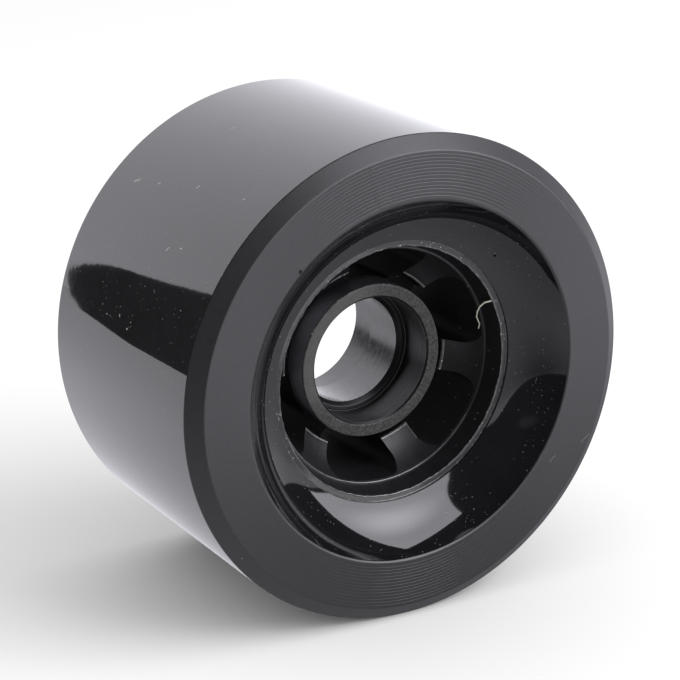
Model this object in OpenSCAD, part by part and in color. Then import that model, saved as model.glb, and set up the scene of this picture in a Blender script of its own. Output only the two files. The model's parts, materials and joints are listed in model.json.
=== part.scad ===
// Longboard wheel: a urethane tyre cast round a moulded plastic core.
// The axle lies along Y, the origin is the wheel's centre, and the front is at -Y.

/* [Tyre] */
// Diameter over the tread
tyre_d = 83; // [78:0.5:90]
// Width over both lips
tyre_w = 52; // [48:0.5:60]
// Width of the bevel between tread and lip, measured along the radius
bevel_run = 2.5; // [1:0.1:4]
// Depth of the bevel, measured along the axle
bevel_drop = 1.9; // [0.8:0.1:3.5]
// Diameter of the flat lip's inner edge, where the dish begins
dish_d = 62.2; // [56:0.2:68]
// Depth of the dish below the lip, where it meets the core
dish_drop = 6.6; // [4:0.1:9]
// Radius of the arc that the dish follows from the core up to the lip
dish_sweep = 13; // [9:0.5:30]
// Rounding where the dish meets the flat lip
lip_round = 0.6; // [0.2:0.1:1.5]
// How far the urethane laps over the end of the core's rim
rim_lap = 0.9; // [0.4:0.1:1.4]
// Thickness of the urethane that laps over the end of the rim
lap_thickness = 0.4; // [0.2:0.1:1]

/* [Bearing seats] */
// Outer diameter of the ball bearing that each seat takes
bearing_d = 22; // [20:0.5:26]
// Width of that bearing, and so the depth of each seat
bearing_w = 7; // [5:0.5:9]
// Length of the spacer between the two bearings
spacer_l = 10; // [6:0.5:12]
// Diameter of the bore that the spacer lies in
spacer_bore_d = 19; // [14:0.5:19]
// Chamfer at the mouth of each seat, which leads the bearing in
lead_in = 0.4; // [0.2:0.1:0.8]
// Chamfer on the inner edge of the shoulder that stops the bearing
shoulder_chamfer = 0.7; // [0.2:0.1:0.8]

/* [Core] */
// Wall of the hub tube round a bearing seat
hub_wall = 2.4; // [1.6:0.1:3]
// Rounding on the hub tube's outer edge
hub_round = 0.3; // [0.1:0.1:0.8]
// Outer diameter of the core's rim, without its keying rings
rim_d = 47.2; // [45:0.2:50]
// Wall of the rim at its mouth
rim_wall = 2; // [1.4:0.1:2.4]
// Length of the countersunk mouth of the rim, from its end to the ledge
mouth_l = 3.5; // [2:0.1:5]
// How much the countersunk mouth narrows on the radius
mouth_taper = 0.85; // [0.3:0.05:1.2]
// Width of the flat ledge at the foot of the mouth
ledge_w = 0.35; // [0.2:0.05:0.8]

/* [Spokes] */
// Number of spokes
spoke_count = 6; // [4:1:8]
// Width of a spoke across its straight sides
spoke_w = 5.4; // [3.5:0.1:6.5]
// Angle of the first spoke above the horizontal, seen from the front
spoke_angle = -8; // [-45:1:45]
// Clear gap between the hub tube and the crest of a spoke
crest_gap = 2.1; // [1.2:0.1:2.6]
// Drop from the hub tube's end to the crest of a spoke
crest_drop = 2.1; // [0.5:0.1:4]
// Depth of the moat between hub tube and crest, below the crest
moat_depth = 2.8; // [1:0.1:4]
// Rounding of the crest
crest_round = 0.4; // [0.2:0.05:0.6]
// How far the ramped face of a spoke is hollowed below a straight ramp
ramp_hollow = 0.45; // [0:0.05:0.8]
// Corner radius of a window at the rim
window_rim_round = 2; // [0.8:0.1:2.4]
// Corner radius of a window at the hub
window_hub_round = 1; // [0.5:0.1:1.6]
// Step between a window's curved walls and the faces beside them
window_step = 0.2; // [0.1:0.05:0.4]

/* [Keying rings] */
// Height of the keying rings above the rim
key_h = 1.8; // [0.8:0.1:2.4]
// Width of a keying ring at its top
key_w = 2.6; // [1.6:0.1:4]
// Extra width of a keying ring at its foot, on each side
key_draft = 0.3; // [0.1:0.05:0.6]
// Distance from the middle ring to each outer ring
key_pitch = 12; // [9:0.5:14]
// Number of notches cut in each keying ring
key_notches = 12; // [6:1:18]
// Width of a notch
key_notch_w = 5; // [3:0.1:6]

/* [Hidden] */
$fn = 144;
overcut = 1;
root_bite = 0.5;
arc_steps = 6;

half_w = tyre_w / 2;
tyre_r = tyre_d / 2;
dish_r = dish_d / 2;
floor_y = half_w - dish_drop;
rim_end = floor_y - lap_thickness;
rim_r = rim_d / 2;
seal_r = rim_r - rim_lap;

seat_r = bearing_d / 2;
bore_r = spacer_bore_d / 2;
shoulder_y = spacer_l / 2;
hub_end = shoulder_y + bearing_w;
hub_r = seat_r + hub_wall;

mouth_r = rim_r - rim_wall;
mouth_foot_r = mouth_r - mouth_taper;
ledge_r = mouth_foot_r - ledge_w;
ledge_y = rim_end - mouth_l;

crest_r = hub_r + crest_gap;
crest_y = hub_end - crest_drop;
moat_y = crest_y - moat_depth;
ramp_foot = [crest_r + crest_round, crest_y];
ramp_top = [ledge_r, ledge_y];

window_in = hub_r + window_step;
window_out = ledge_r - window_step;
window_mid = (window_in + window_out) / 2;
spoke_pitch = 360 / spoke_count;

// Points on an arc, from one angle to another
function arc(centre, radius, from, to, steps = arc_steps) =
    [for (i = [0:steps])
        let (turn = from + (to - from) * i / steps)
        centre + radius * [cos(turn), sin(turn)]];

// Points of a hollowed ramp between two ends, without the ends
function hollow_ramp(foot, top, hollow, steps = arc_steps) =
    let (run = top - foot, across = [run.y, -run.x] / norm(run))
    [for (i = [1:steps - 1]) foot + run * i / steps + across * hollow * 4 * (i / steps) * (1 - i / steps)];

// A closed outline from its front half, mirrored to the back
function front_and_back(half) =
    concat(half, [for (i = [len(half) - 1:-1:0]) [half[i].x, -half[i].y]]);

// Turns a piece made round Z so that its front faces -Y
module on_axle() {
    rotate([90, 0, 0]) children();
}

// Part of a ring between two radii, spread evenly about +X
module ring_sector(r_in, r_out, half_angle) {
    reach = r_out / cos(half_angle) + overcut;
    corner = reach * [cos(half_angle), sin(half_angle)];
    intersection() {
        difference() {
            circle(r = r_out);
            circle(r = r_in);
        }
        polygon([[0, 0], [corner.x, -corner.y], corner]);
    }
}

// Front half of the core's section: bore, seat, hub end, moat, crest, ramp, ledge, mouth and rim
core_half = concat(
    [[bore_r, shoulder_y - shoulder_chamfer], [bore_r + shoulder_chamfer, shoulder_y]],
    [[seat_r, shoulder_y], [seat_r, hub_end - lead_in], [seat_r + lead_in, hub_end]],
    arc([hub_r - hub_round, hub_end - hub_round], hub_round, 90, 0),
    [[hub_r, moat_y], [crest_r, moat_y]],
    arc([crest_r + crest_round, crest_y - crest_round], crest_round, 180, 90),
    hollow_ramp(ramp_foot, ramp_top, ramp_hollow),
    [ramp_top, [mouth_foot_r, ledge_y], [mouth_r, rim_end], [rim_r, rim_end]]
);

// Outline of one window, spread evenly about +X, with its four corners rounded
module window_outline() {
    half = spoke_pitch / 2;
    out_c = window_out - window_rim_round;
    in_c = window_in + window_hub_round;
    out_turn = half - asin((spoke_w / 2 + window_rim_round) / out_c);
    in_turn = half - asin((spoke_w / 2 + window_hub_round) / in_c);
    out_corner = out_c * [cos(out_turn), sin(out_turn)];
    in_corner = in_c * [cos(in_turn), sin(in_turn)];
    to_side = [-sin(half), cos(half)];
    side = [
        in_corner,
        in_corner + window_hub_round * to_side,
        out_corner + window_rim_round * to_side,
        out_corner
    ];
    polygon(front_and_back(side));
    ring_sector(window_mid, window_out, out_turn);
    ring_sector(window_in, window_mid, in_turn);
    for (flip = [1, -1]) {
        translate([out_corner.x, flip * out_corner.y]) circle(r = window_rim_round);
        translate([in_corner.x, flip * in_corner.y]) circle(r = window_hub_round);
    }
}

// A ring of keys round the rim, cut by notches that the urethane fills
module key_ring(turn) {
    key_half = key_w / 2;
    root = [rim_r - root_bite, key_half + key_draft];
    foot = [rim_r, key_half + key_draft];
    top = [rim_r + key_h, key_half];
    notch_reach = rim_r + key_h + overcut;
    difference() {
        rotate_extrude() polygon(front_and_back([root, foot, top]));
        for (i = [0:key_notches - 1]) {
            rotate([0, 0, turn + i * 360 / key_notches])
                translate([0, -key_notch_w / 2, -key_w]) cube([notch_reach, key_notch_w, 2 * key_w]);
        }
    }
}

// The three keying rings, the middle one turned by half a notch
module key_rings() {
    half_notch = 180 / key_notches;
    key_ring(half_notch);
    for (flip = [1, -1]) translate([0, 0, flip * key_pitch]) key_ring(0);
}

// The space that the core fills inside the tyre, with nothing hollow
module core_bed() {
    cylinder(r = rim_r, h = 2 * rim_end, center = true);
    key_rings();
}

module core() {
    color([0.07, 0.07, 0.08]) on_axle() {
        difference() {
            union() {
                rotate_extrude() polygon(front_and_back(core_half));
                key_rings();
            }
            for (i = [0:spoke_count - 1]) {
                rotate([0, 0, spoke_angle + (i + 0.5) * spoke_pitch])
                    linear_extrude(height = 2 * half_w, center = true) window_outline();
            }
        }
    }
}

// The dish's arc starts at the lap over the rim and runs smoothly into the lip's rounding
dish_foot = [seal_r, floor_y];
lip_centre = [dish_r, half_w - lip_round];
span = lip_centre - dish_foot;
sweep = max(dish_sweep, span * span / (2 * min(span.x - lip_round, span.y)));
along = (span * span - 2 * sweep * lip_round - lip_round ^ 2) / (2 * norm(span));
above = sqrt(sweep ^ 2 - along ^ 2);
dish_centre = dish_foot + (along * span + above * [-span.y, span.x]) / norm(span);
to_foot = dish_foot - dish_centre;
to_lip = lip_centre - dish_centre;
foot_turn = atan2(to_foot.y, to_foot.x);
lip_turn = atan2(to_lip.y, to_lip.x);

// Front half of the tyre's section: dish, lip, bevel and tread
tyre_half = concat(
    arc(dish_centre, sweep, foot_turn, lip_turn, 2 * arc_steps),
    arc(lip_centre, lip_round, lip_turn + 180, 90),
    [[tyre_r - bevel_run, half_w], [tyre_r, half_w - bevel_drop]]
);

module tyre() {
    color([0.04, 0.04, 0.045]) on_axle() {
        difference() {
            rotate_extrude() polygon(front_and_back(tyre_half));
            core_bed();
        }
    }
}

core();
tyre();
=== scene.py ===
import json
from math import asin, atan2, ceil, cos, degrees, hypot, radians, sin, sqrt, tau

import bmesh
import bpy
from mathutils import Matrix, Vector, noise


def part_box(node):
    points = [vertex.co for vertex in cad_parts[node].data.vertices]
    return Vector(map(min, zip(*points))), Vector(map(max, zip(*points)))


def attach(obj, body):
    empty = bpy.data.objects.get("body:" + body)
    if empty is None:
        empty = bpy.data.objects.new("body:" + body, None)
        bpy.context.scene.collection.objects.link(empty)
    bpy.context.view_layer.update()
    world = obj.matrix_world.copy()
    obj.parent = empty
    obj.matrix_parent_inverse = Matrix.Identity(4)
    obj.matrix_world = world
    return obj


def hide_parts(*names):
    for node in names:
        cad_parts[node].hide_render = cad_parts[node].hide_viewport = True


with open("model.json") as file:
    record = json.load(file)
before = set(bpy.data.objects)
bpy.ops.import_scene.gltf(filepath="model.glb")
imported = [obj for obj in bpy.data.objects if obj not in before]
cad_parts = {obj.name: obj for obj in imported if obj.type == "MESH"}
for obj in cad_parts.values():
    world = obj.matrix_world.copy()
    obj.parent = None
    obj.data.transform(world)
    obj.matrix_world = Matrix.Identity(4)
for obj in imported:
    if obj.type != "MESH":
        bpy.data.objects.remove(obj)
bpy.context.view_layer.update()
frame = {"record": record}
mm = 0.001  # pieces are drawn in millimetres and brought to metres at the end
mergeGap = 0.0005  # points nearer to each other than this become one
arcStep = 5  # degrees between the points of an arc, at most

tyreLow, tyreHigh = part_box("tyre")
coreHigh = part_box("core")[1]
wheelRadius = tyreHigh.x / mm
wheelHalf = tyreHigh.y / mm
rimEnd = coreHigh.y / mm
seats = {mount["name"]: mount["dims"] for mount in frame["record"]["mounts"]}
seatRadius = seats["bearing_seat_front"]["r_mm"]
boreRadius = seats["spacer_bore"]["r_mm"]
print("frame: radius %.2f mm, half width %.2f mm, rim end %.2f mm"
      % (wheelRadius, wheelHalf, rimEnd))


# drawing sections and outlines with a pen
# flat turns the pen's two numbers into a place: a section lies in XY, an outline in XZ

def inSection(radius, depth):
    return Vector((radius, -depth, 0.0))


def inOutline(u, v):
    return Vector((u, 0.0, v))


def penStart(bm, u, v, flat):
    return bm.verts.new(flat(u, v))


def penPath(bm, end, places, flat):
    # straight lines from the pen's end through each place
    for u, v in places:
        end = bmesh.ops.extrude_vert_indiv(bm, verts=[end])["verts"][0]
        end.co = flat(u, v)
    return end


def penArc(bm, end, centre, angle, flat):
    # positive degrees turn the way that the pen's own u turns to v
    axis = flat(1, 0).cross(flat(0, 1)).normalized()
    made = bmesh.ops.spin(bm, geom=[end], cent=flat(*centre), axis=axis, angle=radians(angle),
                          steps=max(2, ceil(abs(angle) / arcStep)))
    return [part for part in made["geom_last"] if isinstance(part, bmesh.types.BMVert)][0]


def penLoop(bm, places, flat):
    # a closed outline through a few places
    first = penStart(bm, *places[0], flat)
    bm.edges.new((penPath(bm, first, places[1:], flat), first))


def spinRound(bm, segments):
    bmesh.ops.spin(bm, geom=bm.verts[:] + bm.edges[:], cent=(0, 0, 0), axis=(0, 1, 0),
                   angle=tau, steps=segments, use_merge=True)
    bmesh.ops.remove_doubles(bm, verts=bm.verts, dist=mergeGap)
    bmesh.ops.recalc_face_normals(bm, faces=bm.faces)


def spinSection(bm, segments):
    # the front half is mirrored to the back, then turned once round the axle
    whole = bm.verts[:] + bm.edges[:]
    bmesh.ops.mirror(bm, geom=whole, matrix=Matrix.Identity(4), merge_dist=mergeGap, axis="Y")
    spinRound(bm, segments)


def ringEdges(bm, radius, depth, reach=0.02):
    # the edges that run round the axle at one radius, front and back
    return [edge for edge in bm.edges
            if all(abs(hypot(v.co.x, v.co.z) - radius) < reach
                   and abs(abs(v.co.y) - depth) < reach for v in edge.verts)]


def roundEdges(bm, edges, shape):
    bmesh.ops.bevel(bm, geom=edges, offset=shape["edgeRound"], segments=shape["edgeSteps"],
                    profile=0.5, affect="EDGES", material=-1)


def bmeshObject(bm, name):
    mesh = bpy.data.meshes.new(name)
    bm.to_mesh(mesh)
    bm.free()
    piece = bpy.data.objects.new(name, mesh)
    bpy.context.scene.collection.objects.link(piece)
    return piece


def carve(piece, tool, operation):
    # one exact boolean, applied at once
    cut = piece.modifiers.new("cut", "BOOLEAN")
    cut.operation = operation
    cut.solver = "EXACT"
    cut.object = tool
    graph = bpy.context.evaluated_depsgraph_get()
    mesh = bpy.data.meshes.new_from_object(piece.evaluated_get(graph))
    piece.modifiers.clear()
    piece.data = mesh


def cutAway(piece, tool):
    carve(piece, tool, "DIFFERENCE")
    bpy.data.objects.remove(tool)


# the tyre

tyreShape = {
    "segments": 256,
    "bevelRun": 2.5,
    "bevelDrop": 1.9,
    "edgeRound": 0.18,
    "edgeSteps": 6,
    "dishRadius": 31.1,
    "dishDrop": 6.6,
    "dishSweep": 13.0,
    "lipRound": 0.6,
    "rimLap": 0.9,
    "grooves": 13,
    "grooveWidth": 0.16,
    "grooveDepth": 0.025,
    # the lathe bit less at the sides of the lip than above and below
    "grooveFade": 1.7,
    "grooveFadePower": 1.5,
    # pinholes in the cast surface: radius from the axle, angle seen from the front, size
    "pinholes": [(25.7, 44.1, 0.32), (24.9, 164.0, 0.30), (26.6, -120.1, 0.28),
                 (31.3, 134.0, 0.36), (27.4, 12.0, 0.14), (26.2, -60.0, 0.16)],
}


def dishArc(foot, lipCentre, sweep, lipRound):
    # the arc from the core up to the lip's rounding, which it meets smoothly:
    # its centre and its two ends' angles
    span = lipCentre - foot
    along = (span.dot(span) - 2 * sweep * lipRound - lipRound ** 2) / (2 * span.length)
    above = sqrt(sweep ** 2 - along ** 2)
    centre = foot + (along * span + above * Vector((-span.y, span.x))) / span.length
    toFoot = foot - centre
    toLip = lipCentre - centre
    return centre, degrees(atan2(toFoot.y, toFoot.x)), degrees(atan2(toLip.y, toLip.x))


def fadeGrooves(bm, shape, fromRadius, toRadius):
    # a groove's foot lies below the lip, and clear of the edges on both sides
    hair, margin = 0.001, 0.1
    for vert in bm.verts:
        sunk = wheelHalf - abs(vert.co.y)
        radius = hypot(vert.co.x, vert.co.z)
        if (hair < sunk < shape["grooveDepth"] + hair
                and fromRadius + margin < radius < toRadius - margin):
            aside = abs(vert.co.x / radius) ** shape["grooveFadePower"]
            left = max(0, 1 - shape["grooveFade"] * aside)
            vert.co.y = (wheelHalf - sunk * left) * (1 if vert.co.y > 0 else -1)


def makePits(places, depthAt):
    # small balls, each on the surface at its radius
    bm = bmesh.new()
    for radius, turn, size in places:
        at = (radius * cos(radians(turn)), -depthAt(radius), radius * sin(radians(turn)))
        bmesh.ops.create_icosphere(bm, subdivisions=2, radius=size,
                                   matrix=Matrix.Translation(at))
    return bmeshObject(bm, "pits")


def makeTyre(shape, core):
    bm = bmesh.new()
    lip = wheelHalf
    floor = lip - shape["dishDrop"]
    rim = core["rimRadius"]
    seal = rim - shape["rimLap"]
    dish = shape["dishRadius"]
    bevelFrom = wheelRadius - shape["bevelRun"]
    bevelFoot = lip - shape["bevelDrop"]
    lipCentre = Vector((dish, lip - shape["lipRound"]))
    centre, fromAngle, toAngle = dishArc(Vector((seal, floor)), lipCentre,
                                         shape["dishSweep"], shape["lipRound"])
    end = penStart(bm, rim, 0, inSection)
    end = penPath(bm, end, [(rim, rimEnd), (seal, rimEnd), (seal, floor)], inSection)
    end = penArc(bm, end, centre, toAngle - fromAngle, inSection)
    end = penArc(bm, end, lipCentre, -90 - toAngle, inSection)
    pitch = (bevelFrom - dish) / (shape["grooves"] + 1)
    half = shape["grooveWidth"] / 2
    for number in range(1, shape["grooves"] + 1):
        middle = dish + number * pitch
        end = penPath(bm, end, [(middle - half, lip), (middle, lip - shape["grooveDepth"]),
                                (middle + half, lip)], inSection)
    penPath(bm, end, [(bevelFrom, lip), (wheelRadius, bevelFoot), (wheelRadius, 0)], inSection)
    spinSection(bm, shape["segments"])
    fadeGrooves(bm, shape, dish, bevelFrom)
    corners = ringEdges(bm, bevelFrom, lip) + ringEdges(bm, wheelRadius, bevelFoot)
    roundEdges(bm, corners, shape)
    piece = bmeshObject(bm, "tyreBody")

    def dishDepth(radius):
        return min(lip, centre.y - sqrt(shape["dishSweep"] ** 2 - (radius - centre.x) ** 2))

    cutAway(piece, makePits(shape["pinholes"], dishDepth))
    return piece


# the core

coreShape = {
    "segments": 240,
    "edgeRound": 0.1,
    "edgeSteps": 4,
    "rimRadius": 23.6,
    "rimWall": 2.0,
    "mouthLength": 3.5,
    "mouthTaper": 0.85,
    "ledge": 0.35,
    "hubWall": 2.4,
    "hubRound": 0.3,
    "hubEnd": 12.0,
    "shoulder": 5.0,
    "shoulderChamfer": 0.7,
    "leadIn": 0.4,
    "crestGap": 2.1,
    "crestDrop": 2.1,
    "crestRound": 0.4,
    "moatDepth": 2.8,
    "rampHollow": 0.45,
    "rampSteps": 8,
    "spokes": 6,
    "spokeWidth": 5.4,
    "spokeAngle": -8.0,
    "windowRimRound": 2.0,
    "windowHubRound": 1.0,
    "windowStep": 0.2,
    "keyHeight": 1.8,
    "keyWidth": 2.6,
    "keyDraft": 0.3,
    "keyPitch": 12.0,
    "keyNotches": 12,
    "keyNotchWidth": 5.0,
    "rootBite": 0.5,
    # a thin flash line stands on each side of the rim's end
    "flashInner": 0.16,
    "flashOuter": 1.0,
    "flashSink": 0.07,
    # the inner line wanders by this much, in long and short waves, and is torn in a few places
    "ragged": 0.10,
    "raggedBand": {"deep": 0.15, "middle": 0.05, "across": 0.28},
    "longWave": 1.1,
    "shortWave": 3.7,
    "shortShare": 0.8,
    "tearWave": 0.9,
    "tearFrom": 0.25,
    "tearSize": 3,
    # a whisker of flash hangs from the rim into the mouth: right, up, depth
    "whisker": [(20.95, 9.0, 18.9), (19.6, 9.35, 18.75), (18.25, 9.1, 18.4), (17.35, 8.5, 18.3),
                (16.95, 7.7, 18.2), (16.95, 6.7, 18.0), (17.4, 5.9, 17.8), (17.86, 5.2, 17.6),
                (17.8, 4.3, 17.4)],
    "whiskerRadius": 0.17,
    "whiskerThins": 0.5,
    "whiskerSides": 8,
}


def coreLines(shape):
    # the radii and depths that follow from the core's sizes
    lines = {"hub": seatRadius + shape["hubWall"],
             "mouth": shape["rimRadius"] - shape["rimWall"],
             "ledgeDepth": rimEnd - shape["mouthLength"],
             "crestDepth": shape["hubEnd"] - shape["crestDrop"]}
    lines["ledgeOut"] = lines["mouth"] - shape["mouthTaper"]
    lines["ledgeIn"] = lines["ledgeOut"] - shape["ledge"]
    lines["crest"] = lines["hub"] + shape["crestGap"]
    lines["moatDepth"] = lines["crestDepth"] - shape["moatDepth"]
    return lines


def coreSection(bm, shape, lines):
    hub, mouth, crest, moat = (lines[name] for name in ("hub", "mouth", "crest", "moatDepth"))
    crestDepth = lines["crestDepth"]
    chamfer, leadIn = shape["shoulderChamfer"], shape["leadIn"]
    hubRound, crestRound = shape["hubRound"], shape["crestRound"]
    shoulder, hubEnd = shape["shoulder"], shape["hubEnd"]
    end = penStart(bm, boreRadius, 0, inSection)
    end = penPath(bm, end, [
        (boreRadius, shoulder - chamfer), (boreRadius + chamfer, shoulder),
        (seatRadius, shoulder), (seatRadius, hubEnd - leadIn),
        (seatRadius + leadIn, hubEnd), (hub - hubRound, hubEnd),
    ], inSection)
    end = penArc(bm, end, (hub - hubRound, hubEnd - hubRound), -90, inSection)
    end = penPath(bm, end, [(hub, moat), (crest, moat), (crest, crestDepth - crestRound)],
                  inSection)
    end = penArc(bm, end, (crest + crestRound, crestDepth - crestRound), -90, inSection)
    foot = Vector((crest + crestRound, crestDepth))
    run = Vector((lines["ledgeIn"], lines["ledgeDepth"])) - foot
    across = Vector((run.y, -run.x)).normalized()
    for step in range(1, shape["rampSteps"] + 1):
        share = step / shape["rampSteps"]
        place = foot + run * share + across * shape["rampHollow"] * 4 * share * (1 - share)
        end = penPath(bm, end, [place], inSection)
    inner, outer = mouth + shape["flashInner"], mouth + shape["flashOuter"]
    sink = shape["flashSink"]
    penPath(bm, end, [
        (lines["ledgeOut"], lines["ledgeDepth"]), (mouth, rimEnd), (inner, rimEnd),
        (inner + sink, rimEnd - sink), (outer - sink, rimEnd - sink), (outer, rimEnd),
        (shape["rimRadius"], rimEnd), (shape["rimRadius"], 0),
    ], inSection)


def makeRagged(bm, shape, lines):
    band = shape["raggedBand"]
    tearPlace, depthSquash = Vector((7, 3, 0)), 9
    for vert in bm.verts:
        radius = hypot(vert.co.x, vert.co.z)
        if (abs(vert.co.y) > rimEnd - band["deep"]
                and abs(radius - lines["mouth"] - band["middle"]) < band["across"]):
            place = Vector((vert.co.x, vert.co.z, vert.co.y / depthSquash))
            shift = (noise.noise(place * shape["longWave"])
                     + shape["shortShare"] * noise.noise(place * shape["shortWave"]))
            tear = noise.noise(place * shape["tearWave"] + tearPlace) - shape["tearFrom"]
            shift += max(0, tear) * shape["tearSize"]
            share = 1 - shape["ragged"] * shift / radius
            vert.co.x *= share
            vert.co.z *= share


def turnFromFront(bm, verts, angle):
    # outlines are drawn with u to the right and v up, as seen from the front
    bmesh.ops.rotate(bm, verts=verts, cent=(0, 0, 0),
                     matrix=Matrix.Rotation(radians(-angle), 3, "Y"))


def windowCutters(shape, lines):
    rimRound = shape["windowRimRound"]
    hubRound = shape["windowHubRound"]
    inner = lines["hub"] + shape["windowStep"]
    outer = lines["ledgeIn"] - shape["windowStep"]
    halfPitch = 180 / shape["spokes"]
    halfSpoke = shape["spokeWidth"] / 2
    outAt = outer - rimRound
    inAt = inner + hubRound
    outTurn = halfPitch - degrees(asin((halfSpoke + rimRound) / outAt))
    inTurn = halfPitch - degrees(asin((halfSpoke + hubRound) / inAt))
    side = Vector((-sin(radians(halfPitch)), cos(radians(halfPitch))))
    otherSide = Vector((side.x, -side.y))
    bm = bmesh.new()

    def corner(at, turn, flip):
        return Vector((at * cos(radians(turn)), flip * at * sin(radians(turn))))

    end = penStart(bm, *corner(outer, outTurn, -1), inOutline)
    end = penArc(bm, end, (0, 0), 2 * outTurn, inOutline)
    end = penArc(bm, end, corner(outAt, outTurn, 1), 90 + halfPitch - outTurn, inOutline)
    centre = corner(inAt, inTurn, 1)
    end = penPath(bm, end, [centre + hubRound * side], inOutline)
    end = penArc(bm, end, centre, 90 - halfPitch + inTurn, inOutline)
    end = penArc(bm, end, (0, 0), -2 * inTurn, inOutline)
    end = penArc(bm, end, corner(inAt, inTurn, -1), 90 - halfPitch + inTurn, inOutline)
    centre = corner(outAt, outTurn, -1)
    end = penPath(bm, end, [centre + rimRound * otherSide], inOutline)
    penArc(bm, end, centre, 90 + halfPitch - outTurn, inOutline)
    bmesh.ops.remove_doubles(bm, verts=bm.verts, dist=2 * mergeGap)
    bmesh.ops.contextual_create(bm, geom=bm.edges[:])
    bmesh.ops.translate(bm, verts=bm.verts, vec=(0, -wheelHalf, 0))
    made = bmesh.ops.extrude_face_region(bm, geom=bm.faces[:])
    raised = [part for part in made["geom"] if isinstance(part, bmesh.types.BMVert)]
    bmesh.ops.translate(bm, verts=raised, vec=(0, 2 * wheelHalf, 0))
    one = bm.verts[:] + bm.edges[:] + bm.faces[:]
    for number in range(shape["spokes"]):
        copy = bmesh.ops.duplicate(bm, geom=one)["geom"]
        verts = [part for part in copy if isinstance(part, bmesh.types.BMVert)]
        turnFromFront(bm, verts, shape["spokeAngle"] + (number + 0.5) * 2 * halfPitch)
    bmesh.ops.delete(bm, geom=one, context="VERTS")
    bmesh.ops.recalc_face_normals(bm, faces=bm.faces)
    return bmeshObject(bm, "windowCutters")


def makeKeys(shape):
    # three rings on the rim, and the boxes that notch them
    half = shape["keyWidth"] / 2
    foot = half + shape["keyDraft"]
    rim = shape["rimRadius"]
    top = rim + shape["keyHeight"]
    root = rim - shape["rootBite"]
    pitch = 360 / shape["keyNotches"]
    boxSize = Matrix.Diagonal((2 * shape["keyHeight"] + 1, 2 * shape["keyWidth"],
                               shape["keyNotchWidth"], 1))
    rings = bmesh.new()
    notches = bmesh.new()
    for ring in (-1, 0, 1):
        depth = ring * shape["keyPitch"]
        turned = 0.5 if ring == 0 else 0  # the middle ring is turned by half a notch
        penLoop(rings, [(root, depth - foot), (rim, depth - foot), (top, depth - half),
                        (top, depth + half), (rim, depth + foot), (root, depth + foot)],
                inSection)
        for number in range(shape["keyNotches"]):
            place = Matrix.Translation((top, -depth, 0))
            made = bmesh.ops.create_cube(notches, size=1, matrix=place @ boxSize)
            turnFromFront(notches, made["verts"], (number + turned) * pitch)
    spinRound(rings, shape["segments"])
    keys = bmeshObject(rings, "keys")
    cutAway(keys, bmeshObject(notches, "notches"))
    return keys


def makeCore(shape, lines):
    bm = bmesh.new()
    coreSection(bm, shape, lines)
    spinSection(bm, shape["segments"])
    corners = ringEdges(bm, lines["mouth"], rimEnd)
    corners += ringEdges(bm, lines["ledgeIn"], lines["ledgeDepth"])
    corners += ringEdges(bm, seatRadius + shape["leadIn"], shape["hubEnd"])
    corners += ringEdges(bm, boreRadius + shape["shoulderChamfer"], shape["shoulder"])
    roundEdges(bm, corners, shape)
    makeRagged(bm, shape, lines)
    piece = bmeshObject(bm, "coreBody")
    cutAway(piece, windowCutters(shape, lines))
    return piece


def makeWhisker(shape):
    # a round thread along its places, thinner towards its free end, with both ends closed
    bm = bmesh.new()
    places = [Vector((right, -depth, up)) for right, up, depth in shape["whisker"]]
    last = len(places) - 1
    rings = []
    for number, place in enumerate(places):
        along = places[min(number + 1, last)] - places[max(number - 1, 0)]
        turned = Vector((0, 0, 1)).rotation_difference(along).to_matrix().to_4x4()
        size = shape["whiskerRadius"] * (1 - shape["whiskerThins"] * number / last)
        made = bmesh.ops.create_circle(bm, segments=shape["whiskerSides"], radius=size,
                                       matrix=Matrix.Translation(place) @ turned)
        rings.append(made["verts"])
    bmesh.ops.bridge_loops(bm, edges=bm.edges[:])
    bmesh.ops.contextual_create(bm, geom=rings[0])
    bmesh.ops.contextual_create(bm, geom=rings[-1])
    bmesh.ops.recalc_face_normals(bm, faces=bm.faces)
    mesh = bpy.data.meshes.new("whisker")
    bm.to_mesh(mesh)
    bm.free()
    return mesh


def joinMesh(piece, mesh):
    bm = bmesh.new()
    bm.from_mesh(piece.data)
    bm.from_mesh(mesh)
    bm.to_mesh(piece.data)
    bm.free()


coreAt = coreLines(coreShape)
print("tyre")
tyre = makeTyre(tyreShape, coreShape)
print("core")
core = makeCore(coreShape, coreAt)
print("keying rings")
keys = makeKeys(coreShape)
carve(core, keys, "UNION")
cutAway(tyre, keys)
joinMesh(core, makeWhisker(coreShape))
print("faces: tyre %d, core %d" % (len(tyre.data.polygons), len(core.data.polygons)))


# material helpers

def put(tree, kind, settings=None, inputs=None):
    # one node, with its settings, and with numbers or other nodes' sockets on its inputs
    node = tree.nodes.new("ShaderNode" + kind)
    for name, value in (settings or {}).items():
        setattr(node, name, value)
    for name, value in (inputs or {}).items():
        if isinstance(value, bpy.types.NodeSocket):
            tree.links.new(value, node.inputs[name])
        else:
            node.inputs[name].default_value = value
    return node


def maths(tree, operation, a, b=0.0):
    return put(tree, "Math", {"operation": operation}, {0: a, 1: b}).outputs[0]


def addShare(tree, total, part, share):
    return maths(tree, "ADD", total, maths(tree, "MULTIPLY", part, share))


def vectorMaths(tree, operation, a, b):
    # both inputs are vectors, and the operations here that give a number give it second
    node = put(tree, "VectorMath", {"operation": operation}, {0: a, 1: b})
    return node.outputs["Value" if operation in ("DOT_PRODUCT", "DISTANCE") else "Vector"]


def scaled(tree, vector, share):
    return put(tree, "VectorMath", {"operation": "SCALE"}, {0: vector, "Scale": share}).outputs[0]


def blend(tree, mask, below, above):
    mixed = put(tree, "Mix", {"data_type": "RGBA"}, {0: mask, 6: below, 7: (*above, 1)})
    return mixed.outputs[2]


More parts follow.
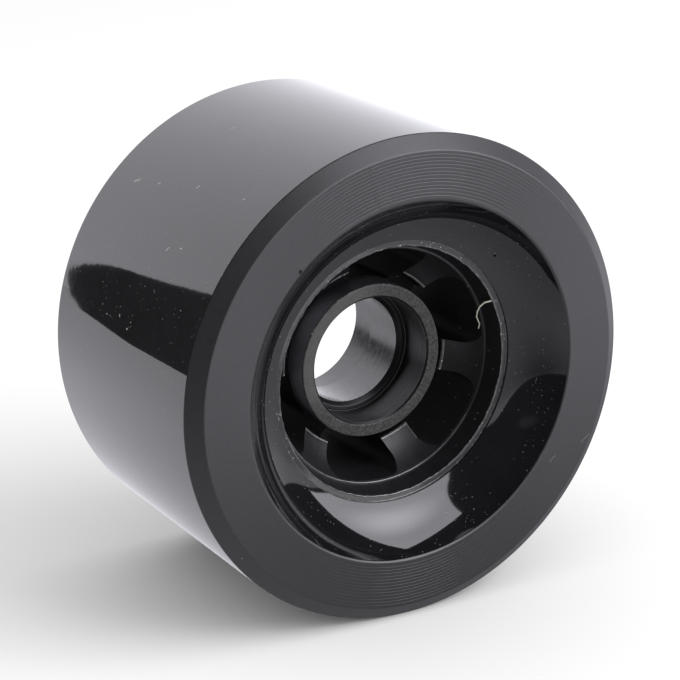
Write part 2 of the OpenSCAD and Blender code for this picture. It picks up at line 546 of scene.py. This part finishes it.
def newGroup(name, takes, gives):
    group = bpy.data.node_groups.new(name, "ShaderNodeTree")
    for label, value in takes.items():
        kind = "NodeSocketVector" if isinstance(value, tuple) else "NodeSocketFloat"
        socket = group.interface.new_socket(name=label, in_out="INPUT", socket_type=kind)
        socket.default_value = value
    group.interface.new_socket(name=gives, in_out="OUTPUT", socket_type="NodeSocketFloat")
    inputs = group.nodes.new("NodeGroupInput").outputs
    return group, inputs, group.nodes.new("NodeGroupOutput").inputs[gives]


def placeInMm(tree):
    return scaled(tree, put(tree, "TexCoord").outputs["Object"], 1 / mm)


def turningGroup():
    # fine uneven rings round the axle, as a lathe tool leaves them
    group, takes, height = newGroup("turningMarks", {"Lines per mm": 4.0}, "Height")
    parts = put(group, "SeparateXYZ", None, {0: placeInMm(group)}).outputs
    flat = put(group, "CombineXYZ", None, {"X": parts["X"], "Z": parts["Z"]}).outputs[0]
    radius = put(group, "VectorMath", {"operation": "LENGTH"}, {0: flat}).outputs["Value"]
    along = addShare(group, radius, parts["Y"], 0.9)
    lines = maths(group, "MULTIPLY", along, takes["Lines per mm"])
    uneven = put(group, "TexNoise", {"noise_dimensions": "1D"},
                 {"W": lines, "Scale": 1.0, "Detail": 2.0, "Roughness": 0.7})
    group.links.new(uneven.outputs["Fac"], height)
    return group


def radialGroup():
    # fine lines that run out from the axle and along it, as a mould's polish leaves them
    group, takes, height = newGroup("radialLines", {"Lines per mm": 4.0}, "Height")
    usualRadius = 18.0
    parts = put(group, "SeparateXYZ", None, {0: placeInMm(group)}).outputs
    turn = maths(group, "ARCTAN2", parts["X"], parts["Z"])
    side = maths(group, "MULTIPLY", turn, usualRadius)
    side = maths(group, "MULTIPLY", side, takes["Lines per mm"])
    along = maths(group, "MULTIPLY", parts["Y"], 0.15)
    place = put(group, "CombineXYZ", None, {"X": side, "Y": along}).outputs[0]
    uneven = put(group, "TexNoise", None,
                 {"Vector": place, "Scale": 1.0, "Detail": 2.0, "Roughness": 0.6})
    group.links.new(uneven.outputs["Fac"], height)
    return group


def cloudGroup():
    # soft uneven patches of one size
    group, takes, value = newGroup("clouds", {"Size": 1.0}, "Value")
    scale = maths(group, "DIVIDE", 1.0, takes["Size"])
    uneven = put(group, "TexNoise", None, {"Vector": placeInMm(group), "Scale": scale,
                                           "Detail": 3.0, "Roughness": 0.6})
    group.links.new(uneven.outputs["Fac"], value)
    return group


def dustGroup():
    # specks of dust and lint, gathered in patches
    group, takes, mask = newGroup("dust", {"Spacing": 1.0, "Size": 0.08, "Share": 0.4}, "Mask")
    place = placeInMm(group)
    scale = maths(group, "DIVIDE", 1.0, takes["Spacing"])
    cells = put(group, "TexVoronoi", None, {"Vector": place, "Scale": scale})
    chance = put(group, "SeparateColor", None, {0: cells.outputs["Color"]}).outputs
    away = maths(group, "MULTIPLY", cells.outputs["Distance"], takes["Spacing"])
    size = maths(group, "MULTIPLY", takes["Size"], maths(group, "ADD", chance["Red"], 0.3))
    near = maths(group, "LESS_THAN", away, size)
    patches = put(group, "TexNoise", None, {"Vector": place, "Scale": 0.12, "Detail": 2.0})
    gathered = put(group, "MapRange", None, {"Value": patches.outputs["Fac"], "From Min": 0.35,
                                             "From Max": 0.7, "To Min": 0.25, "To Max": 1.6})
    limit = maths(group, "MULTIPLY", takes["Share"], gathered.outputs[0])
    chosen = maths(group, "LESS_THAN", chance["Green"], limit)
    group.links.new(maths(group, "MULTIPLY", near, chosen), mask)
    return group


def wearAndHighlightGroup():
    # pale edges, partly wear and partly painted highlight: where a rounded normal leaves the true
    # one
    group, takes, mask = newGroup("edgeWear", {"Reach": 0.15}, "Mask")
    reach = maths(group, "MULTIPLY", takes["Reach"], mm)
    rounded = put(group, "Bevel", {"samples": 6}, {"Radius": reach}).outputs[0]
    true = put(group, "NewGeometry").outputs["Normal"]
    same = vectorMaths(group, "DOT_PRODUCT", rounded, true)
    worn = put(group, "MapRange", None, {"Value": same, "From Min": 0.995, "From Max": 0.85})
    group.links.new(worn.outputs[0], mask)
    return group


def strokeGroup():
    # one mark along a short line: 1 on the line, falling to 0 at its reach
    group, takes, mask = newGroup(
        "stroke", {"Start": (0.0, 0.0, 0.0), "End": (1.0, 0.0, 0.0), "Reach": 0.1}, "Mask")
    away = vectorMaths(group, "SUBTRACT", placeInMm(group), takes["Start"])
    line = vectorMaths(group, "SUBTRACT", takes["End"], takes["Start"])
    share = maths(group, "DIVIDE", vectorMaths(group, "DOT_PRODUCT", away, line),
                  vectorMaths(group, "DOT_PRODUCT", line, line))
    share = put(group, "Clamp", None, {"Value": share}).outputs[0]
    gap = vectorMaths(group, "DISTANCE", away, scaled(group, line, share))
    gap = maths(group, "DIVIDE", gap, takes["Reach"])
    falling = put(group, "MapRange", None, {"Value": gap, "From Min": 1.0, "From Max": 0.4})
    group.links.new(falling.outputs[0], mask)
    return group


groups = {"turning": turningGroup(), "radial": radialGroup(), "clouds": cloudGroup(),
          "dust": dustGroup(), "wear": wearAndHighlightGroup(), "stroke": strokeGroup()}


def effect(tree, name, **values):
    node = tree.nodes.new("ShaderNodeGroup")
    node.node_tree = groups[name]
    for label, value in values.items():
        node.inputs[label.replace("_", " ")].default_value = value
    return node.outputs[0]


# finishes: colours are linear, sizes and heights are in millimetres
# dust is its spacing, its size and the share of places that hold a speck

finishes = {
    "tread": {
        "colour": (0.012, 0.012, 0.013), "rough": 0.032, "roughSpread": 0.03,
        "cloudSize": 9.0, "cloudHeight": 0.006, "dust": (0.6, 0.055, 0.5),
    },
    "bevel": {
        "colour": (0.015, 0.015, 0.017), "rough": 0.44, "roughSpread": 0.10,
        "cloudSize": 0.6, "cloudHeight": 0.001, "dust": (1.4, 0.06, 0.2),
        "lines": 3.0, "lineHeight": 0.003,
    },
    "lip": {
        "colour": (0.015, 0.015, 0.017), "rough": 0.38, "roughSpread": 0.10, "shine": 0.55,
        "cloudSize": 0.6, "cloudHeight": 0.001, "dust": (1.4, 0.06, 0.25),
        "lines": 2.5, "lineHeight": 0.0025, "drawn": 0.5,
    },
    "dish": {
        "colour": (0.0065, 0.0065, 0.008), "rough": 0.05, "roughSpread": 0.04,
        "cloudSize": 7.0, "cloudHeight": 0.004, "dust": (0.5, 0.045, 0.55),
    },
    "moulded": {
        "colour": (0.0065, 0.0065, 0.0075), "rough": 0.42, "roughSpread": 0.08,
        "cloudSize": 2.5, "cloudHeight": 0.004, "dust": (0.7, 0.06, 0.35),
        "radial": 2.5, "radialHeight": 0.012,
    },
    # edge: a pale colour painted on rounded edges as a highlight, beside their real gloss
    "edge": {
        "colour": (0.060, 0.060, 0.062), "rough": 0.22, "roughSpread": 0.2, "shine": 0.8,
        "cloudSize": 1.1, "cloudHeight": 0.010, "dust": (0.5, 0.10, 0.4), "toneSpread": 0.9,
    },
    "thread": {
        "colour": (0.36, 0.35, 0.30), "rough": 0.4, "roughSpread": 0.1,
        "cloudSize": 1.0, "cloudHeight": 0.010, "dust": (1.0, 0.05, 0.1),
    },
    "window": {
        "colour": (0.009, 0.009, 0.010), "rough": 0.6, "roughSpread": 0.1, "shine": 0.03,
        "cloudSize": 2.5, "cloudHeight": 0.004, "dust": (0.8, 0.06, 0.25),
    },
    # hubTube: the moulded plastic made paler on the hub tube's side, as painted light
    "hubTube": {
        "colour": (0.030, 0.029, 0.033), "rough": 0.45, "roughSpread": 0.1,
        "cloudSize": 2.5, "cloudHeight": 0.004, "dust": (0.8, 0.06, 0.3),
    },
    "hubEnd": {
        "colour": (0.034, 0.034, 0.034), "rough": 0.50, "roughSpread": 0.3, "shine": 0.25,
        "cloudSize": 0.45, "cloudHeight": 0.020, "dust": (0.7, 0.08, 0.35), "toneSpread": 0.9,
        "lines": 3.0, "lineHeight": 0.012, "wear": 0.28,
    },
    "seat": {
        "colour": (0.007, 0.007, 0.008), "rough": 0.32, "roughSpread": 0.2, "shine": 0.2,
        "cloudSize": 1.0, "cloudHeight": 0.006, "dust": (0.8, 0.06, 0.3),
        "lines": 2.2, "lineHeight": 0.040, "wear": 0.18,
    },
    "bored": {
        "colour": (0.022, 0.022, 0.024), "rough": 0.24, "roughSpread": 0.25, "shine": 0.75,
        "cloudSize": 1.5, "cloudHeight": 0.010, "dust": (0.8, 0.07, 0.3),
        "lines": 1.6, "lineHeight": 0.012, "wear": 0.18,
    },
    "flash": {
        "colour": (0.011, 0.011, 0.012), "rough": 0.42, "roughSpread": 0.3,
        "cloudSize": 0.6, "cloudHeight": 0.03, "dust": (0.6, 0.10, 0.5), "toneSpread": 0.8,
        "wear": 0.12,
    },
}
dustColour = (0.42, 0.41, 0.40)
dustHeight = 0.02
dustRough = 0.9
# pale colour on edges: partly wear, partly a painted highlight along rounded edges
wearAndHighlightColour = (0.20, 0.20, 0.20)

# marks in the wheel's own millimetres: scratches and specks seen on the real wheel,
# patches of painted light, painted highlights, and a darker streak in the bore;
# the start, end, reach and strength of each, and one colour for each finish
marks = {
    "tread": ((0.55, 0.55, 0.55), [
        ((-29.9, 15.9, 28.8), (-29.5, 15.4, 29.2), 0.12, 0.9),
        ((-29.7, 15.0, 29.0), (-29.2, 14.8, 29.5), 0.10, 0.7),
        ((-28.9, 8.9, 29.8), (-28.5, 8.5, 30.1), 0.10, 0.7),
        ((-34.7, -5.4, 22.7), (-34.3, -5.8, 23.3), 0.10, 0.8),
        ((-33.9, -9.4, 23.9), (-33.9, -8.9, 23.9), 0.10, 0.7),
        ((-16.3, 6.5, 38.2), (-15.8, 6.2, 38.4), 0.10, 0.6),
        ((-27.3, -1.9, 31.3), (-26.8, -2.2, 31.7), 0.10, 0.7),
        ((-26.1, -15.5, 32.3), (-25.8, -15.8, 32.5), 0.10, 0.6),
        ((-40.02, 1.5, 10.98), (-40.10, 1.3, 10.7), 0.13, 0.9),
        ((-40.29, 6.0, 9.95), (-40.30, 5.8, 9.9), 0.12, 0.8),
        ((-40.38, -1.8, 9.57), (-40.40, -2.1, 9.5), 0.13, 0.9),
        ((-40.07, -2.7, 10.80), (-40.07, -2.8, 10.8), 0.10, 0.8),
        ((-40.00, 8.1, 11.06), (-40.02, 8.0, 11.0), 0.10, 0.6),
        ((-38.10, -17.0, 16.44), (-38.12, -17.1, 16.4), 0.11, 0.6),
    ]),
    "lip": ((0.30, 0.30, 0.30), [
        ((33.9, -26.0, -16.6), (35.6, -26.0, -15.3), 0.09, 0.35),
        ((27.3, -26.0, -18.9), (28.4, -26.0, -18.0), 0.09, 0.35),
    ]),
    # painted light along the left and the top of the dish, and a small faint pale patch at the
    # right
    "dish": ((0.052, 0.051, 0.056), [
        ((-30.5, -25.5, -2.0), (-27.0, -25.5, 13.0), 6.0, 1.0),
        ((-27.0, -25.5, 13.0), (-16.0, -25.5, 26.0), 6.0, 0.7),
        ((-16.0, -25.5, 26.0), (3.0, -25.5, 30.0), 5.0, 0.35),
        ((24.6, -22.0, -12.6), (26.4, -22.4, -12.2), 1.3, 0.17),
    ]),
    # painted light: a pale patch on the hub tube's left side, where the light reaches it
    "hubTube": ((0.15, 0.14, 0.165), [
        ((-13.4, -12.0, -3.0), (-10.5, -12.0, 8.5), 7.0, 1.0),
    ]),
    # painted light: the hub end paler towards its top left
    "hubEnd": ((0.085, 0.085, 0.083), [
        ((-12.3, -12.0, -1.0), (-5.0, -12.0, 11.3), 7.0, 0.55),
    ]),
    # painted highlights: thin pale lines along the edges of two spokes
    "moulded": ((0.13, 0.13, 0.13), [
        ((8.30, -9.9, -13.33), (9.17, -11.8, -15.49), 0.22, 0.8),
        ((-11.9, -9.9, -10.0), (-13.4, -11.8, -12.0), 0.16, 0.5),
    ]),
    # painted light: pale patches on the rim's flash line, low down and at the upper left
    "flash": ((0.080, 0.080, 0.080), [
        ((-14.0, -19.0, -17.0), (2.0, -19.0, -22.0), 5.0, 0.9),
        ((-20.0, -19.0, 9.0), (-8.0, -19.0, 20.5), 5.0, 0.5),
    ]),
    "bored": ((0.008, 0.008, 0.009), [
        ((9.25, 0.8, -2.2), (9.28, -2.4, -2.0), 1.2, 0.8),
    ]),
}


def markedColour(tree, name, look, clouds, dust):
    # a little uneven, paler on edges from wear and painted highlight, then dust, and the marks,
    # some of them painted light, on top
    spread = look.get("toneSpread", 0.2)
    tone = put(tree, "MapRange", None, {"Value": clouds, "From Min": 0.25, "From Max": 0.75,
                                        "To Min": 1 - spread, "To Max": 1 + spread})
    colour = scaled(tree, look["colour"], tone.outputs[0])
    if "wear" in look:
        colour = blend(tree, effect(tree, "wear", Reach=look["wear"]), colour, wearAndHighlightColour)
    colour = blend(tree, dust, colour, dustColour)
    markColour, places = marks.get(name, (wearAndHighlightColour, []))
    for start, end, reach, strength in places:
        stroke = effect(tree, "stroke", Start=start, End=end, Reach=reach)
        colour = blend(tree, maths(tree, "MULTIPLY", stroke, strength), colour, markColour)
    return colour


def makeFinish(name, look):
    material = bpy.data.materials.new(name)
    material.use_nodes = True
    tree = material.node_tree
    shader = tree.nodes["Principled BSDF"]
    shader.inputs["Specular IOR Level"].default_value = look.get("shine", 0.5)
    clouds = effect(tree, "clouds", Size=look["cloudSize"])
    spacing, size, share = look["dust"]
    dust = effect(tree, "dust", Spacing=spacing, Size=size, Share=share)
    tree.links.new(markedColour(tree, name, look, clouds, dust), shader.inputs["Base Color"])
    # roughness is uneven, and dull where dust lies
    rough = maths(tree, "MULTIPLY", maths(tree, "SUBTRACT", clouds, 0.5), look["roughSpread"])
    rough = maths(tree, "ADD", rough, look["rough"])
    height = maths(tree, "MULTIPLY", clouds, look["cloudHeight"])
    if "radial" in look:
        radial = effect(tree, "radial", Lines_per_mm=look["radial"])
        rough = addShare(tree, rough, maths(tree, "SUBTRACT", radial, 0.5), 0.5)
        height = addShare(tree, height, radial, look["radialHeight"])
    rough = maths(tree, "MAXIMUM", rough, maths(tree, "MULTIPLY", dust, dustRough))
    tree.links.new(rough, shader.inputs["Roughness"])
    if "lines" in look:
        lines = effect(tree, "turning", Lines_per_mm=look["lines"])
        height = addShare(tree, height, lines, look["lineHeight"])
    height = addShare(tree, height, dust, dustHeight)
    bump = put(tree, "Bump", None, {"Height": height, "Distance": mm})
    tree.links.new(bump.outputs[0], shader.inputs["Normal"])
    if "drawn" in look:
        shader.inputs["Anisotropic"].default_value = look["drawn"]
        tangent = put(tree, "Tangent", {"direction_type": "RADIAL", "axis": "Y"})
        tree.links.new(tangent.outputs[0], shader.inputs["Tangent"])
    return material


# which finish a face takes, from its radius, its depth towards the front, how squarely it faces
# along the axle, from 0 to 1, and its turn round the axle, seen from the front

def tyreFinish(radius, depth, facing, turn):
    hair, lipOverRound = 0.02, 0.45
    if radius > wheelRadius - hair and abs(depth) < wheelHalf - tyreShape["bevelDrop"]:
        return "tread"
    if radius > wheelRadius - tyreShape["bevelRun"]:
        return "bevel"
    if radius > tyreShape["dishRadius"] - lipOverRound:
        return "lip"
    return "dish"


# how far each of the core's finishes reaches, in millimetres
coreReach = {
    "hair": 0.02,
    "threadClear": 0.15,
    "threadDeep": 2.5,
    "flashDeep": 0.12,
    "ledgeAcross": 0.16,
    "ledgeDeep": 0.12,
    "bore": 0.1,
    "hubEdge": 0.14,
    "leadInEdge": 0.06,
    "hubSide": 0.05,
}


def coreFinish(radius, depth, facing, turn):
    reach, hair = coreReach, coreReach["hair"]
    hub, hubEnd = coreAt["hub"], coreShape["hubEnd"]
    front = depth > 0
    depth = abs(depth)
    fromLedge = depth - coreAt["ledgeDepth"]
    wall = coreAt["ledgeOut"] + coreShape["mouthTaper"] * fromLedge / coreShape["mouthLength"]
    if radius < wall - reach["threadClear"] and depth > rimEnd - reach["threadDeep"]:
        return "thread"
    if depth > rimEnd - reach["flashDeep"]:
        # the flash line's edges take the pale edge finish, partly wear and partly a painted
        # highlight
        return "flash" if facing > 0.9 and depth < rimEnd - hair else "edge"
    # the ledge's edge takes the pale edge finish below, a painted highlight, and stays dark above
    onLedge = (abs(radius - coreAt["ledgeIn"]) < reach["ledgeAcross"]
               and abs(fromLedge) < reach["ledgeDeep"] and facing < 0.995)
    if onLedge and -165 < turn < -35:
        return "edge"
    # the crest's rounding takes the pale edge finish: a painted highlight beside its real gloss
    if (coreAt["crest"] < radius < coreAt["crest"] + coreShape["crestRound"]
            and depth > coreAt["crestDepth"] - coreShape["crestRound"]):
        return "edge"
    if radius < seatRadius + hair:
        return "seat" if front and radius > boreRadius + reach["bore"] else "bored"
    if depth > hubEnd - coreShape["leadIn"] and radius < hub + hair:
        # the outer edge of the hub's end takes the pale edge finish: a painted highlight
        if radius > hub - reach["hubEdge"]:
            return "edge"
        onEnd = radius > seatRadius + coreShape["leadIn"] - reach["leadInEdge"]
        return "hubEnd" if onEnd else "seat"
    # the hub tube's side takes its paler finish: painted light
    if facing < 0.1 and radius < hub + reach["hubSide"]:
        return "hubTube"
    inMoat = depth < coreAt["moatDepth"] + reach["hubSide"] and radius < coreAt["crest"]
    if radius < coreAt["ledgeOut"] and (facing < hair or inMoat):
        return "window"
    return "moulded"


def finishPiece(piece, names, choose, nodeName, sharpAngle=14):
    piece.data.materials.clear()
    for name in names:
        piece.data.materials.append(makeFinish(name, finishes[name]))
    for face in piece.data.polygons:
        at = face.center
        finish = choose(hypot(at.x, at.z), -at.y, abs(face.normal.y), degrees(atan2(at.z, at.x)))
        face.material_index = names.index(finish)
    piece.data.transform(Matrix.Diagonal((mm, mm, mm, 1.0)))
    piece.data.shade_smooth()
    piece.data.set_sharp_from_angle(angle=radians(sharpAngle))
    # broad faces stay flat in the gloss beside their narrow rounded edges
    weighted = piece.modifiers.new("weightedNormals", "WEIGHTED_NORMAL")
    weighted.keep_sharp = True
    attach(piece, "root")
    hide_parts(nodeName)


print("finishes")
finishPiece(tyre, ["tread", "bevel", "lip", "dish"], tyreFinish, "tyre")
finishPiece(core, ["moulded", "edge", "thread", "window", "hubTube", "hubEnd", "seat", "bored",
                   "flash"], coreFinish, "core")

# camera

cameraPlace = {
    "at": (-0.1857, -0.3160, 0.1224),
    "towards": (0.4823, 0.8171, -0.3162),
    "lens": 118.5,
    "sensor": 36.0,
}


def makeCamera(place):
    data = bpy.data.cameras.new("camera")
    data.lens = place["lens"]
    data.sensor_width = place["sensor"]
    camera = bpy.data.objects.new("camera", data)
    bpy.context.scene.collection.objects.link(camera)
    camera.location = place["at"]
    camera.rotation_euler = Vector(place["towards"]).to_track_quat("-Z", "Y").to_euler()
    bpy.context.scene.camera = camera


makeCamera(cameraPlace)

# studio: a white table and a white room, with cards that only the gloss shows

coolLight = (0.985, 0.98, 1.05, 1.0)
studio = {
    "tableSize": 4.0,
    "floorColour": (0.95, 0.95, 0.95),
    "roomLight": 0.85,
    "lampPlace": (0.75, -0.80, 0.65),
    "lampSize": 1.2,
    "lampWatts": 13.0,
    # how bright the table looks in the gloss, and its brighter or dimmer pools:
    # place, reach, change
    "tableGlow": 1.45,
    # painted light in the table's glow: the pools make it brighter or dimmer, and those close
    # round the wheel are its painted shadow
    "tablePools": [
        ((-0.14, -0.17, -0.0415), 0.35, -1.2), ((0.083, 0.049, -0.0415), 0.17, -1.2),
        ((0.0, -0.02, -0.0415), 0.06, -0.2), ((-0.06, 0.06, -0.0415), 0.14, 0.2),
        ((0.125, -0.155, -0.0415), 0.09, -0.6), ((0.15, -0.30, -0.0415), 0.15, 1.2),
    ],
}

# each card: its centre, the way it faces, its outline in metres on its own plane,
# the rounding of its corners, its brightness and its pools
cards = {
    "backPanel": {
        "at": (0.0, 0.62, 0.0),
        "facing": (0, -1, 0),
        "outline": [(-0.40, -0.16), (0.75, -0.16), (0.75, 0.70), (-0.40, 0.70)],
        "glow": 1.85,
    },
    "sidePanel": {
        "at": (0.88, 0.34, 0.0),
        "facing": (-1, 0, 0),
        "outline": [(-0.28, -0.16), (0.28, -0.16), (0.28, 0.48), (-0.28, 0.48)],
        "glow": 1.5,
        "pools": [((0.88, 0.08, 0.30), 0.35, 2.5)],
    },
    "blackCard": {
        "at": (0.0, 0.619, 0.0),
        "facing": (0, -1, 0),
        "outline": [(-0.3612, -0.10), (-0.3612, 0.015), (-0.3630, 0.05), (-0.370, 0.098),
                    (-0.388, 0.140), (-0.397, 0.185), (-0.42, 0.30), (-0.80, 0.70),
                    (-0.80, -0.10)],
        "corner": 0.012,
        "glow": 0.03,
    },
    # the table ends at the left and in front, and all is dark beyond it
    "tableEnd": {
        "at": (0.0, 0.0, -0.041),
        "facing": (0, 0, 1),
        "outline": [(-0.3640, 0.625), (-0.2665, 0.441), (-0.217, 0.345), (-0.195, 0.27),
                    (-0.225, 0.265), (-0.235, -0.11), (-0.18, -0.228), (-0.10, -0.325),
                    (-0.05, -0.45), (-0.03, -0.70), (0.0, -1.60), (-1.60, -1.60),
                    (-1.60, 0.625)],
        "glow": 0.03,
    },
    "keySoftbox": {
        "at": (0.639, -0.896, 0.0),
        "facing": (-0.508, 0.712, -0.485),
        "outline": [(-0.405, 0.0), (0.405, 0.0), (0.405, 1.18), (-0.405, 1.18)],
        "corner": 0.02,
        "glow": 5.0,
        "pools": [((0.498, -0.699, 0.437), 0.45, 4.0)],
    },
}


def onlyInGloss(thing):
    thing.visible_camera = False
    thing.visible_diffuse = False
    thing.visible_transmission = False
    thing.visible_volume_scatter = False
    thing.visible_shadow = False


def withPools(tree, level, pools):
    # a level of light that rises or falls softly round a few places
    place = put(tree, "NewGeometry").outputs["Position"]
    for middle, reach, change in pools:
        away = vectorMaths(tree, "DISTANCE", place, middle)
        pool = put(tree, "MapRange", {"interpolation_type": "SMOOTHSTEP"},
                   {"Value": away, "From Min": reach, "From Max": 0, "To Min": 0,
                    "To Max": change})
        level = maths(tree, "ADD", level, pool.outputs[0])
    return maths(tree, "MAXIMUM", level, 0.02)


def emptyMaterial(name):
    # a material without nodes, whose light is found by the rays alone
    material = bpy.data.materials.new(name)
    material.use_nodes = True
    material.node_tree.nodes.clear()
    material.cycles.emission_sampling = "NONE"
    return material


def glowMaterial(name, level, pools=()):
    material = emptyMaterial(name)
    tree = material.node_tree
    strength = withPools(tree, level, pools)
    glow = put(tree, "Emission", None, {"Color": coolLight, "Strength": strength})
    put(tree, "OutputMaterial", None, {"Surface": glow.outputs[0]})
    return material


def makeCard(name, card):
    # its own right and up, as seen from the wheel; a card that lies flat has the plan's
    facing = Vector(card["facing"]).normalized()
    right, up = Vector((1, 0, 0)), Vector((0, 1, 0))
    if facing.z < 0.9:
        up = (Vector((0, 0, 1)) - facing * facing.z).normalized()
        right = up.cross(facing)

    def onCard(u, v):
        return Vector(card["at"]) + right * u + up * v

    bm = bmesh.new()
    penLoop(bm, card["outline"], onCard)
    if "corner" in card:
        bmesh.ops.bevel(bm, geom=bm.verts[:], offset=card["corner"], segments=6, profile=0.5,
                        affect="VERTICES", material=-1)
    bmesh.ops.contextual_create(bm, geom=bm.edges[:])
    piece = bmeshObject(bm, name)
    piece.data.materials.append(glowMaterial(name, card["glow"], card.get("pools", ())))
    onlyInGloss(piece)


# a dark tent round the front and the sides, open at the back where the panel is
tent = {"radius": 1.7, "lowest": -4, "highest": 80, "upSteps": 12,
        "from": 122, "turn": 243, "roundSteps": 48, "glow": 0.03}


def makeTent(tent):
    bm = bmesh.new()
    low = radians(tent["lowest"])
    end = penStart(bm, tent["radius"] * cos(low), tent["radius"] * sin(low), inOutline)
    bmesh.ops.spin(bm, geom=[end], cent=(0, 0, 0), axis=(0, -1, 0), steps=tent["upSteps"],
                   angle=radians(tent["highest"] - tent["lowest"]))
    bmesh.ops.rotate(bm, verts=bm.verts, cent=(0, 0, 0),
                     matrix=Matrix.Rotation(radians(tent["from"]), 3, "Z"))
    bmesh.ops.spin(bm, geom=bm.verts[:] + bm.edges[:], cent=(0, 0, 0), axis=(0, 0, 1),
                   steps=tent["roundSteps"], angle=radians(tent["turn"]))
    piece = bmeshObject(bm, "darkTent")
    piece.data.materials.append(glowMaterial("darkTent", tent["glow"]))
    onlyInGloss(piece)


def makeTable(studio):
    bm = bmesh.new()
    bmesh.ops.create_grid(bm, x_segments=1, y_segments=1, size=studio["tableSize"])
    bmesh.ops.translate(bm, verts=bm.verts, vec=(0, 0, tyreLow.z))
    table = bmeshObject(bm, "table")
    material = emptyMaterial("table")
    tree = material.node_tree
    paint = put(tree, "BsdfDiffuse", None, {"Color": (*studio["floorColour"], 1)})
    glowing = withPools(tree, studio["tableGlow"], studio["tablePools"])
    glow = put(tree, "Emission", None, {"Color": coolLight, "Strength": glowing})
    inGloss = put(tree, "LightPath").outputs["Is Glossy Ray"]
    mix = put(tree, "MixShader", None, {0: inGloss, 1: paint.outputs[0], 2: glow.outputs[0]})
    put(tree, "OutputMaterial", None, {"Surface": mix.outputs[0]})
    table.data.materials.append(material)


def makeRoom(studio):
    # white where the camera, gloss and glass look, and a plain level for the light on things
    world = bpy.data.worlds.new("studio")
    world.use_nodes = True
    tree = world.node_tree
    path = put(tree, "LightPath").outputs
    seen = maths(tree, "MAXIMUM", path["Is Camera Ray"],
                 maths(tree, "MAXIMUM", path["Is Glossy Ray"], path["Is Transmission Ray"]))
    level = put(tree, "MapRange", None,
                {"Value": seen, "To Min": studio["roomLight"], "To Max": 1.0})
    tree.links.new(level.outputs[0], tree.nodes["Background"].inputs["Strength"])
    tree.nodes["Background"].inputs["Color"].default_value = (1, 1, 1, 1)
    world.cycles.sampling_method = "NONE"
    bpy.context.scene.world = world


def makeLamp(studio):
    data = bpy.data.lights.new("softLamp", "AREA")
    data.size = studio["lampSize"]
    data.energy = studio["lampWatts"]
    lamp = bpy.data.objects.new("softLamp", data)
    bpy.context.scene.collection.objects.link(lamp)
    lamp.location = studio["lampPlace"]
    lamp.rotation_euler = (-Vector(studio["lampPlace"])).to_track_quat("-Z", "Y").to_euler()
    lamp.visible_glossy = False
    lamp.visible_camera = False


print("studio")
for name, card in cards.items():
    makeCard(name, card)
makeTent(tent)
makeTable(studio)
makeRoom(studio)
makeLamp(studio)
bpy.context.scene.view_settings.view_transform = "Standard"
